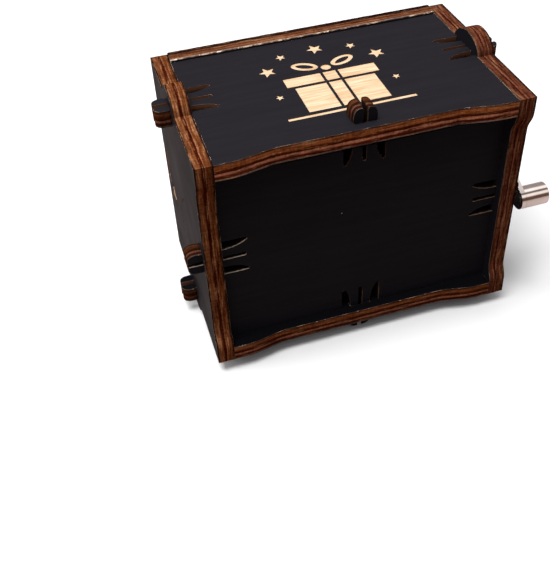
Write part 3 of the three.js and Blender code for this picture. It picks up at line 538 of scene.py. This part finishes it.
def easeWave(bm, name, look):
    low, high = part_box(name)
    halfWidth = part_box("right_panel")[0].x
    reach = low.y + look["reachDepths"] * look["depth"] * mm
    x = -halfWidth + look["step"] * mm
    while x < halfWidth:
        walls = [face for face in bm.faces
                 if face.calc_center_median().y < reach and abs(face.normal.z) < levelFrom]
        parts = list(dict.fromkeys(item for face in walls for item in (*face.edges, *face.verts)))
        bmesh.ops.bisect_plane(bm, geom=walls + parts, plane_co=(x, 0, 0), plane_no=(1, 0, 0))
        x += look["step"] * mm
    for vert in bm.verts:
        if vert.co.y < reach:
            share = (halfWidth - look["land"] * mm - abs(vert.co.x)) / (look["run"] * mm)
            share = min(max(share, 0), 1)
            vert.co.y = low.y + look["depth"] * mm * share * share * (3 - 2 * share)
    bm.normal_update()


def moveEnd(bm, name, end):
    axis, start = end["axis"], end["from"] * mm
    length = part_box(name)[1][axis] - start
    for vert in bm.verts:
        if vert.co[axis] > start:
            vert.co[axis] -= end["shorter"] * mm * (vert.co[axis] - start) / length


def roundWalls(bm, through, look):
    corners = []
    for edge in bm.edges:
        along = edge.verts[1].co - edge.verts[0].co
        if len(edge.link_faces) != 2 or abs(along[through]) < look["throughShare"] * along.length:
            continue
        turned = math.degrees(edge.calc_face_angle(0))
        beside = [other.calc_length() for vert in edge.verts for other in vert.link_edges if other != edge]
        if look["least"] < turned < look["most"] and min(beside) > look["edge"] * mm:
            corners.append(edge)
    bmesh.ops.bevel(bm, geom=corners, offset=look["percent"], offset_type="PERCENT",
                    segments=look["segments"], profile=0.5, affect="EDGES", material=-1, clamp_overlap=True)
    bm.normal_update()


def splitEdges(bm, edges, step):
    byCuts = {}
    for edge in edges:
        byCuts.setdefault(int(edge.calc_length() / step), []).append(edge)
    for cuts, group in byCuts.items():
        if cuts:
            bmesh.ops.bisect_edges(bm, edges=group, cuts=cuts)


def breakRims(bm, through, look):
    made = bmesh.ops.bevel(bm, geom=rimEdges(bm, through), offset=look["rim"] * mm, segments=2, profile=0.5,
                           affect="EDGES", material=-1, clamp_overlap=True)
    for vert in dict.fromkeys(vert for face in made["faces"] for vert in face.verts):
        shift = noise.noise_vector(vert.co * look["raggedPerMetre"]) * look["ragged"] * mm
        shift[through] = 0
        vert.co += shift
    bm.normal_update()


def insideSlit(tree, place, normal, look):
    hit = tree.ray_cast(place + normal * look["slitClear"] * mm, normal, look["slitReach"] * mm)
    return hit[0] is not None


def alongWall(face, through):
    level = face.normal.copy()
    level[through] = 0
    return level.normalized()


def onTab(centre, axes):
    low, high = caseInside
    clear = panelLook["tabClear"] * mm
    return any(not low[axis] - clear < centre[axis] < high[axis] + clear for axis in axes)


def paintPanel(bm, through, panel, look):
    tree = BVHTree.FromBMesh(bm)
    for face in bm.faces:
        steepness = abs(face.normal[through])
        if steepness > look["flat"]:
            face.material_index = look["paintSlot"]
        elif insideSlit(tree, face.calc_center_median(), alongWall(face, through), look):
            face.material_index = look["slitRimSlot"] if steepness > look["sloping"] else look["slitSlot"]
        elif steepness > look["sloping"]:
            face.material_index = look["rimSlot"]
        elif onTab(face.calc_center_median(), panel["tabs"]):
            face.material_index = look["tabSlot"]
        else:
            face.material_index = look["plySlot"]
        face.smooth = steepness <= look["flat"]
    for edge in bm.edges:
        edge.smooth = len(edge.link_faces) == 2 and edge.calc_face_angle() < math.radians(look["sharp"])


def finishPiece(bm, name, body, materials, replaced=()):
    mesh = bpy.data.meshes.new(name)
    bm.to_mesh(mesh)
    bm.free()
    for material in materials:
        mesh.materials.append(material)
    piece = bpy.data.objects.new(name, mesh)
    bpy.context.scene.collection.objects.link(piece)
    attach(piece, body)
    if replaced:
        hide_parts(*replaced)
    return piece


def buildPanel(name, panel, look):
    through = panel["through"]
    low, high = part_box(name)
    thickness = high[through] - low[through]
    bm = mergedCopy(name)
    if panel.get("wave"):
        easeWave(bm, name, waveLook)
    for end in panel.get("ends", ()):
        moveEnd(bm, name, end)
    roundWalls(bm, through, look["round"])
    splitEdges(bm, rimEdges(bm, through), look["step"] * mm)
    breakRims(bm, through, look)
    paintPanel(bm, through, panel, look)
    materials = [
        paintMaterial(name + "_paint", panel["grain"], panel["paintedShadeOnPaint"], panel["specular"], paintLook),
        plyMaterial(name + "_ply", through, low[through], thickness, panel["bands"], panel["toneAndPaintedShade"], plyLook),
        rim,
        slitWallMaterial(name + "_slit", through, low[through], thickness, panel["lip"], charAndShadeLook),
        plyMaterial(name + "_tab", through, low[through], thickness, panel["bands"], panel["toneAndPaintedShade"], plyLook,
                    scorchAndShadeLook),
        slitRim,
    ]
    return finishPiece(bm, name + "_shell", "case", materials, [name])


noise.seed_set(panelLook["seed"])
shells = {name: buildPanel(name, panel, panelLook) for name, panel in panels.items()}
print("panels built")


# Engravings: a wrapped gift among stars on the top panel, and a star with a dotted tail on the left one

engravingLook = {
    "depth": 0.12,       # mm
    "above": 0.4,
    "starWaistShare": 0.44,
    "woodColour": (214, 190, 160),
    "woodDarkColour": (182, 144, 104),
    "woodGrain": (180, 2600, 2600),   # per metre
    "wood": (0.35, 0.7),
    "woodRoughness": 0.75,
    "woodSpecular": 0.2,
    "bump": 0.3,
    "bumpDepth": 0.03,
    "burnColour": (58, 32, 18),
    "sootColour": (26, 18, 14),
    "sootPerMetre": 2400,
    "burnRoughness": 0.85,
}
giftLook = {
    "middle": (-0.25, 0.3),
    "box": {"halfWidth": 8.0, "low": -10.6, "high": -1.9},
    "lid": {"halfWidth": 9.3, "low": -1.3, "high": 1.9},
    "ribbon": {"halfWidth": 1.3, "gap": 0.5},
    "bow": {"length": 5.4, "height": 3.0, "tilt": 24, "wall": 0.9, "apart": 1.4, "high": 4.0},
    "knot": {"radius": 1.0, "high": 3.5},
    "stars": [(-11.2, 5.6, 1.9), (-7.2, 10.2, 1.25), (0.2, 11.0, 1.9), (7.4, 9.8, 1.25), (11.2, 5.2, 1.9),
              (-11.6, -4.0, 1.0), (11.4, -4.4, 1.0)],
    "ground": {"halfWidth": 12.4, "low": -12.2, "high": -11.4},
}
tailLook = {
    "star": (13.6, 19.4, 3.4),
    "dots": {"from": (-1.0, 28.6), "bend": (6.0, 24.0), "to": (5.2, 13.6), "count": 10, "radius": 0.42},
}


def engravedWood(look):
    material, tree, shader = newMaterial("engraved_wood")
    grain = noiseValue(tree, look["woodGrain"], detail=4)
    pale, dark = srgb(*look["woodColour"]), srgb(*look["woodDarkColour"])
    tree.links.new(mixed(tree, between(tree, grain, *look["wood"]), pale, dark), shader.inputs["Base Color"])
    shader.inputs["Roughness"].default_value = look["woodRoughness"]
    shader.inputs["Specular IOR Level"].default_value = look["woodSpecular"]
    addBump(tree, shader, grain, look["bump"], look["bumpDepth"])
    return material


def burntWood(look):
    material, tree, shader = newMaterial("burnt_wood")
    soot = noiseValue(tree, [look["sootPerMetre"]] * 3, detail=2)
    tree.links.new(mixed(tree, soot, srgb(*look["burnColour"]), srgb(*look["sootColour"])),
                   shader.inputs["Base Color"])
    shader.inputs["Roughness"].default_value = look["burnRoughness"]
    return material


def addRectangle(bm, left, low, right, high):
    made = bmesh.ops.create_grid(bm, size=0.5)["verts"]
    bmesh.ops.scale(bm, verts=made, vec=(right - left, high - low, 1))
    bmesh.ops.translate(bm, verts=made, vec=((left + right) / 2, (low + high) / 2, 0))


def addDisc(bm, x, y, radius, segments=16):
    made = bmesh.ops.create_circle(bm, cap_ends=True, segments=segments, radius=radius)["verts"]
    bmesh.ops.translate(bm, verts=made, vec=(x, y, 0))


def addStar(bm, x, y, radius, waistShare):
    made = bmesh.ops.create_circle(bm, cap_ends=True, segments=10, radius=radius)["verts"]
    for vert in made[1::2]:
        vert.co *= waistShare
    bmesh.ops.rotate(bm, verts=made, matrix=Matrix.Rotation(math.radians(90), 3, "Z"))
    bmesh.ops.translate(bm, verts=made, vec=(x, y, 0))


def addBowLoop(bm, side, look):
    made = bmesh.ops.create_circle(bm, cap_ends=True, segments=28, radius=0.5)["verts"]
    bmesh.ops.scale(bm, verts=made, vec=(look["length"], look["height"], 1))
    inner = made[0].link_faces[0]
    inset = bmesh.ops.inset_individual(bm, faces=[inner], thickness=look["wall"], use_even_offset=True)
    ring = inset["faces"]
    bmesh.ops.delete(bm, geom=[inner], context="FACES_ONLY")
    verts = list(dict.fromkeys(vert for face in ring for vert in face.verts))
    bmesh.ops.translate(bm, verts=verts, vec=(look["length"] / 2, 0, 0))
    tilt = Matrix.Rotation(math.radians(look["tilt"]), 3, "Z")
    bmesh.ops.rotate(bm, verts=verts, matrix=tilt)
    bmesh.ops.scale(bm, verts=verts, vec=(side, 1, 1))
    bmesh.ops.translate(bm, verts=verts, vec=(side * look["apart"], look["high"], 0))


def giftShapes(look, waistShare):
    bm = bmesh.new()
    ribbon, gap = look["ribbon"]["halfWidth"], look["ribbon"]["gap"]
    for block in (look["box"], look["lid"]):
        addRectangle(bm, -block["halfWidth"], block["low"], -ribbon - gap, block["high"])
        addRectangle(bm, -ribbon, block["low"], ribbon, block["high"])
        addRectangle(bm, ribbon + gap, block["low"], block["halfWidth"], block["high"])
    ground = look["ground"]
    addRectangle(bm, -ground["halfWidth"], ground["low"], ground["halfWidth"], ground["high"])
    addDisc(bm, 0, look["knot"]["high"], look["knot"]["radius"])
    for side in (-1, 1):
        addBowLoop(bm, side, look["bow"])
    for x, y, radius in look["stars"]:
        addStar(bm, x, y, radius, waistShare)
    bmesh.ops.translate(bm, verts=bm.verts, vec=(*look["middle"], 0))
    return bm


def tailShapes(look, waistShare):
    bm = bmesh.new()
    addStar(bm, *look["star"], waistShare)
    dots = look["dots"]
    start, bend, end = (Vector(dots[key]) for key in ("from", "bend", "to"))
    for i in range(dots["count"]):
        share = i / (dots["count"] - 1)
        place = start.lerp(bend, share).lerp(bend.lerp(end, share), share)
        addDisc(bm, place.x, place.y, dots["radius"], segments=10)
    return bm


def engrave(shell, bm, toFace, look):
    floors = list(bm.faces)
    bmesh.ops.recalc_face_normals(bm, faces=floors)
    bmesh.ops.translate(bm, verts=bm.verts, vec=(0, 0, -look["depth"]))
    raised = bmesh.ops.extrude_face_region(bm, geom=floors, use_keep_orig=True)["geom"]
    lifted = [item for item in raised if isinstance(item, bmesh.types.BMVert)]
    bmesh.ops.translate(bm, verts=lifted, vec=(0, 0, look["depth"] + look["above"]))
    for face in bm.faces:
        face.material_index = 0 if abs(face.normal.z) > levelFrom else 1
    bmesh.ops.scale(bm, verts=bm.verts, vec=(mm, mm, mm))
    bmesh.ops.transform(bm, matrix=toFace, verts=bm.verts)
    bmesh.ops.recalc_face_normals(bm, faces=bm.faces)
    mesh = bpy.data.meshes.new("cutter")
    bm.to_mesh(mesh)
    bm.free()
    for material in engravedMaterials:
        mesh.materials.append(material)
    cutter = bpy.data.objects.new("cutter", mesh)
    bpy.context.scene.collection.objects.link(cutter)
    cut = shell.modifiers.new("engraving", "BOOLEAN")
    cut.object = cutter
    cut.solver = "MANIFOLD"
    cut.material_mode = "TRANSFER"
    bpy.context.view_layer.update()
    engraved = bpy.data.meshes.new_from_object(shell.evaluated_get(bpy.context.evaluated_depsgraph_get()))
    shell.modifiers.remove(cut)
    shell.data = engraved
    bpy.data.objects.remove(cutter)


engravedMaterials = [engravedWood(engravingLook), burntWood(engravingLook)]
topFace = Matrix.Translation((0, 0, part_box("top_panel")[1].z))
leftFace = Matrix(((0, 0, -1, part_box("left_panel")[0].x), (1, 0, 0, 0), (0, 1, 0, 0), (0, 0, 0, 1)))
waistShare = engravingLook["starWaistShare"]
engrave(shells["top_panel"], giftShapes(giftLook, waistShare), topFace, engravingLook)
engrave(shells["left_panel"], tailShapes(tailLook, waistShare), leftFace, engravingLook)
print("engraving cut")


# Metals

metalLooks = {
    "nickel": {"colour": (213, 206, 204), "dark": (196, 188, 184), "roughness": (0.08, 0.16),
               "scale": (5200, 500, 500), "bump": 0.06},
    "bright_steel": {"colour": (196, 194, 190), "dark": (166, 164, 160), "roughness": (0.22, 0.36),
                     "scale": (900, 900, 2600), "bump": 0.08},
    "spring_steel": {"colour": (188, 188, 190), "dark": (150, 150, 154), "roughness": (0.25, 0.42),
                     "scale": (400, 3000, 3000), "bump": 0.1},
    "brass": {"colour": (214, 172, 96), "dark": (176, 132, 62), "roughness": (0.2, 0.38),
              "scale": (700, 700, 3200), "bump": 0.08},
    "zinc": {"colour": (150, 150, 150), "dark": (118, 118, 120), "roughness": (0.42, 0.6),
             "scale": (700, 700, 700), "bump": 0.35},
}
metalStains = {"perMetre": 260, "from": 0.35, "to": 0.7}
metalLines = {"from": 0.3, "to": 0.7, "bumpDepth": 0.02}
metalNodes = {
    "bright_steel": ["drum_arbor", "shaft_bracket", "shaft_clip_left", "shaft_clip_right"],
    "spring_steel": ["comb"],
    "brass": ["drum", "drum_cap_lower", "drum_cap_upper", "drum_bush_upper", "drum_bush_lower",
              "shaft_bush_left", "shaft_bush_right", "worm_wheel", "worm"],
    "zinc": ["bedplate"],
}
screwNodes = ["comb_screw_1", "comb_screw_2", "comb_screw_3", "bracket_screw_1", "bracket_screw_2",
              "movement_screw_1", "movement_screw_2", "movement_screw_3"]
metalNodes["bright_steel"] += screwNodes


def metalMaterial(name, look):
    material, tree, shader = newMaterial(name)
    lines = noiseValue(tree, look["scale"], detail=3)
    stains = noiseValue(tree, [metalStains["perMetre"]] * 3, detail=3)
    stained = between(tree, stains, metalStains["from"], metalStains["to"])
    colour = mixed(tree, stained, srgb(*look["colour"]), srgb(*look["dark"]))
    tree.links.new(colour, shader.inputs["Base Color"])
    roughness = between(tree, lines, metalLines["from"], metalLines["to"], *look["roughness"])
    tree.links.new(roughness, shader.inputs["Roughness"])
    shader.inputs["Metallic"].default_value = 1
    addBump(tree, shader, lines, look["bump"], metalLines["bumpDepth"])
    return material


metals = {name: metalMaterial(name, look) for name, look in metalLooks.items()}


# The movement keeps its solids, with broken edges

movementLook = {"edge": 0.06, "weld": 0.0005, "sharp": 40}   # mm and degrees


def softenNode(name, material, width):
    node = nodes[name]
    node.data.materials.clear()
    node.data.materials.append(material)
    joined = node.modifiers.new("weld", "WELD")
    joined.merge_threshold = movementLook["weld"] * mm
    bevel = node.modifiers.new("bevel", "BEVEL")
    bevel.width = width * mm
    bevel.segments = 2
    bevel.limit_method = "ANGLE"
    bevel.angle_limit = math.radians(movementLook["sharp"])


for metal, names in metalNodes.items():
    for name in names:
        softenNode(name, metals[metal], movementLook["edge"])
print("movement finished")


# Crank: the knob is spun, and the arm, the pin and the shaft are copies with broken edges

crankLook = {
    "steps": 96,
    # The gap to the arm is 0.1 mm in the frame, and nearArm of it is closed
    "knob": {"edge": 0.16, "recess": 0.7, "rim": 0.65, "bore": 1.05, "nearArm": 0.08},
    "armEdge": 0.04,
    "pinEdge": 0.1,      # and the shaft's
    "knobSharp": 30,     # degrees
    "sharp": 40,
}


def sharpEdges(bm, angle):
    return [edge for edge in bm.edges
            if len(edge.link_faces) == 2 and edge.calc_face_angle() > math.radians(angle)]


def shadeSmooth(bm):
    sharp = math.radians(crankLook["sharp"])
    for face in bm.faces:
        face.smooth = True
    for edge in bm.edges:
        edge.smooth = len(edge.link_faces) == 2 and edge.calc_face_angle() < sharp


def weightNormals(piece):
    modifier = piece.modifiers.new("weighted normals", "WEIGHTED_NORMAL")
    modifier.keep_sharp = True
    modifier.weight = 100


# The end next to the arm keeps its corner
def spinRoundX(name, corners, middle, edge, body, replaced, material):
    bm = bmesh.new()
    verts = [bm.verts.new((along, middle.y, middle.z + radius)) for along, radius in corners]
    edges = [bm.edges.new(pair) for pair in zip(verts, verts[1:])]
    bmesh.ops.spin(bm, geom=verts + edges, cent=middle, axis=(1, 0, 0), angle=2 * math.pi,
                   steps=crankLook["steps"], use_merge=True, use_duplicate=False)
    bmesh.ops.remove_doubles(bm, verts=bm.verts, dist=weld * mm)
    bmesh.ops.recalc_face_normals(bm, faces=bm.faces)
    leftEnd = min(along for along, radius in corners) + edge
    corner = [e for e in sharpEdges(bm, crankLook["knobSharp"]) if e.verts[0].co.x > leftEnd]
    bmesh.ops.bevel(bm, geom=corner, offset=edge, segments=4, profile=0.5, affect="EDGES", material=-1,
                    clamp_overlap=True)
    shadeSmooth(bm)
    weightNormals(finishPiece(bm, name, body, [material], replaced))


def buildKnob(look):
    low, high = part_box("crank_knob")
    middle = (low + high) / 2
    radius = (high.z - low.z) / 2
    bore = look["bore"] * mm
    rimRadius = radius - look["rim"] * mm
    left = low.x - look["nearArm"] * mm
    recessX = high.x - look["recess"] * mm
    corners = [(left, bore), (left, radius), (high.x, radius), (high.x, rimRadius), (recessX, rimRadius),
               (recessX, bore), (left, bore)]
    spinRoundX("crank_roller", corners, middle, look["edge"] * mm, "knob", ["crank_knob"],
               metals["nickel"])


def softCopy(name, edge, body, material):
    bm = mergedCopy(name)
    corner = sharpEdges(bm, crankLook["sharp"])
    bmesh.ops.bevel(bm, geom=corner, offset=edge * mm, segments=3, profile=0.5, affect="EDGES", material=-1,
                    clamp_overlap=True)
    shadeSmooth(bm)
    weightNormals(finishPiece(bm, name + "_finish", body, [material], [name]))


buildKnob(crankLook["knob"])
softCopy("crank_arm", crankLook["armEdge"], "crank", metals["nickel"])
softCopy("knob_pin", crankLook["pinEdge"], "crank", metals["nickel"])
softCopy("crank_shaft", crankLook["pinEdge"], "crank", metals["nickel"])
print("crank built")
